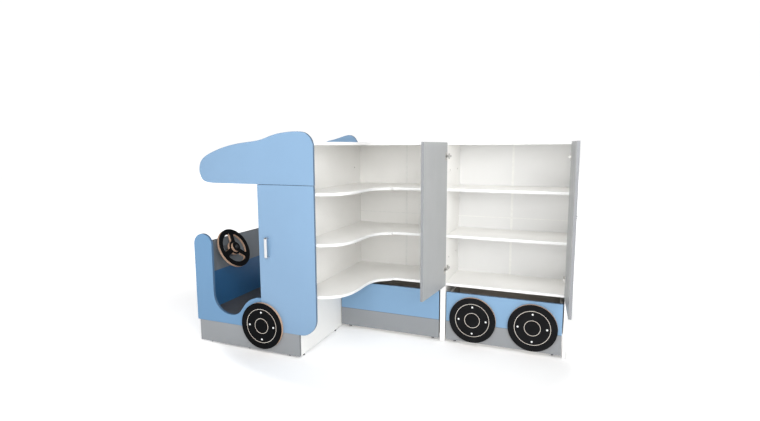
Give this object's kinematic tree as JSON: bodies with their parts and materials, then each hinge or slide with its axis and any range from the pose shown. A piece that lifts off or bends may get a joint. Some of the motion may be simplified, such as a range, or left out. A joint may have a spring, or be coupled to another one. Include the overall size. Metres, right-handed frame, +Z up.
{
  "type": "truck-shaped storage and play wall",
  "caption": "Child's furniture wall shaped like a truck: a walk-in cab with steering wheel and locker, curved corner shelves, a two-door cabinet and roll-out boxes.",
  "frame": {"origin": "centre of the bounding box in plan, on the floor", "axes": "+X along the truck from the cab's nose to the cabinet, -Y towards the open front, +Z up"},
  "size_m": [2.4692, 1.024, 1.4657],
  "materials": {
    "white_board": "white melamine laminate on chipboard",
    "blue_board": "light blue melamine laminate on chipboard",
    "grey_board": "mid grey melamine laminate on chipboard",
    "dark_board": "anthracite laminate on board",
    "silver_board": "aluminium grey laminate on chipboard",
    "back_sheet": "white lacquered hardboard",
    "black_plywood": "black faced birch plywood with bare edges and milled lines",
    "satin_metal": "satin anodised",
    "steel": "nickel plated",
    "dark_steel": "black",
    "white_plastic": "satin",
    "black_plastic": "satin"
  },
  "bodies": {
    "carcass": {"module_wall": "white_board", "locker_top": "white_board", "locker_shelf": "white_board", "locker_side": "white_board", "hinge_post": "white_board", "corner_bottom": "white_board", "corner_shelves": "white_board", "corner_top": "white_board", "corner_side": "white_board", "cabinet_side_left": "white_board", "cabinet_side_right": "white_board", "cabinet_bottom": "white_board", "cabinet_top": "white_board", "cabinet_shelves": "white_board", "nose_panel_lower": "blue_board", "cab_side_near": "blue_board", "cab_side_far": "blue_board", "roof_side_near": "blue_board", "roof_side_far": "blue_board", "canopy_board": "blue_board", "locker_back_panel": "blue_board", "base_frame": "grey_board", "plinth_boards": "grey_board", "nose_panel_upper": "grey_board", "cab_deck": "dark_board", "steering_bracket": "dark_board", "corner_back": "back_sheet", "cabinet_back": "back_sheet", "back_strips": "back_sheet", "hinge_arms": "steel", "fittings": "steel", "steering_shaft": "dark_steel", "glides": "black_plastic"},
    "blue_door": {"cab_door": "blue_board", "cab_handle": "satin_metal", "cab_wheel": "black_plywood", "cab_wheel_caps": "white_plastic", "hinge_cups_cab": "steel"},
    "grey_door_left": {"door_left": "silver_board", "knob_left": "satin_metal", "hinge_cups_left": "steel"},
    "grey_door_right": {"door_right": "silver_board", "knob_right": "satin_metal", "hinge_cups_right": "steel"},
    "steering": {"steering_wheel": "black_plywood", "steering_hub": "black_plywood"},
    "left_box": {"box_left_front_lower": "grey_board", "box_left_front_upper": "blue_board", "box_left_tray": "dark_board", "castor_forks_left": "steel"},
    "right_box": {"box_right_front_lower": "grey_board", "box_right_front_upper": "blue_board", "box_right_tray": "dark_board", "castor_forks_right": "steel", "trailer_wheels": "black_plywood", "trailer_wheel_caps": "white_plastic"},
    "left_box_front_rollers": {"castors_left_front": "black_plastic"},
    "left_box_rear_rollers": {"castors_left_rear": "black_plastic"},
    "right_box_front_rollers": {"castors_right_front": "black_plastic"},
    "right_box_rear_rollers": {"castors_right_rear": "black_plastic"}
  },
  "joints": [
    {"name": "blue_door_hinge", "type": "hinge", "parent": "carcass", "child": "blue_door", "pos_m": [-0.28062, -0.476, 0.76], "axis": [0, 0, 1], "range_deg": [0, 100]},
    {"name": "grey_door_left_hinge", "type": "hinge", "parent": "carcass", "child": "grey_door_left", "pos_m": [0.40088, 0.112, 0.9], "axis": [0, 0, 1], "range_deg": [-3, 96.4]},
    {"name": "grey_door_right_hinge", "type": "hinge", "parent": "carcass", "child": "grey_door_right", "pos_m": [1.19238, 0.112, 0.9], "axis": [0, 0, 1], "range_deg": [-94, 6]},
    {"name": "steering_turn", "type": "hinge", "parent": "carcass", "child": "steering", "pos_m": [-1.21462, -0.178, 0.582], "axis": [0.8829, 0, 0.4695], "continuous": true},
    {"name": "left_box_roll_out", "type": "slide", "parent": "carcass", "child": "left_box", "axis": [0, -1, 0], "range_m": [0, 0.42]},
    {"name": "right_box_roll_out", "type": "slide", "parent": "carcass", "child": "right_box", "axis": [0, -1, 0], "range_m": [0, 0.42]},
    {"name": "left_box_front_axle", "type": "hinge", "parent": "left_box", "child": "left_box_front_rollers", "pos_m": [-0.01612, 0.175, 0.02], "axis": [1, 0, 0], "continuous": true},
    {"name": "left_box_rear_axle", "type": "hinge", "parent": "left_box", "child": "left_box_rear_rollers", "pos_m": [-0.01612, 0.445, 0.02], "axis": [1, 0, 0], "continuous": true},
    {"name": "right_box_front_axle", "type": "hinge", "parent": "right_box", "child": "right_box_front_rollers", "pos_m": [0.79788, 0.175, 0.02], "axis": [1, 0, 0], "continuous": true},
    {"name": "right_box_rear_axle", "type": "hinge", "parent": "right_box", "child": "right_box_rear_rollers", "pos_m": [0.79788, 0.445, 0.02], "axis": [1, 0, 0], "continuous": true}
  ]
}
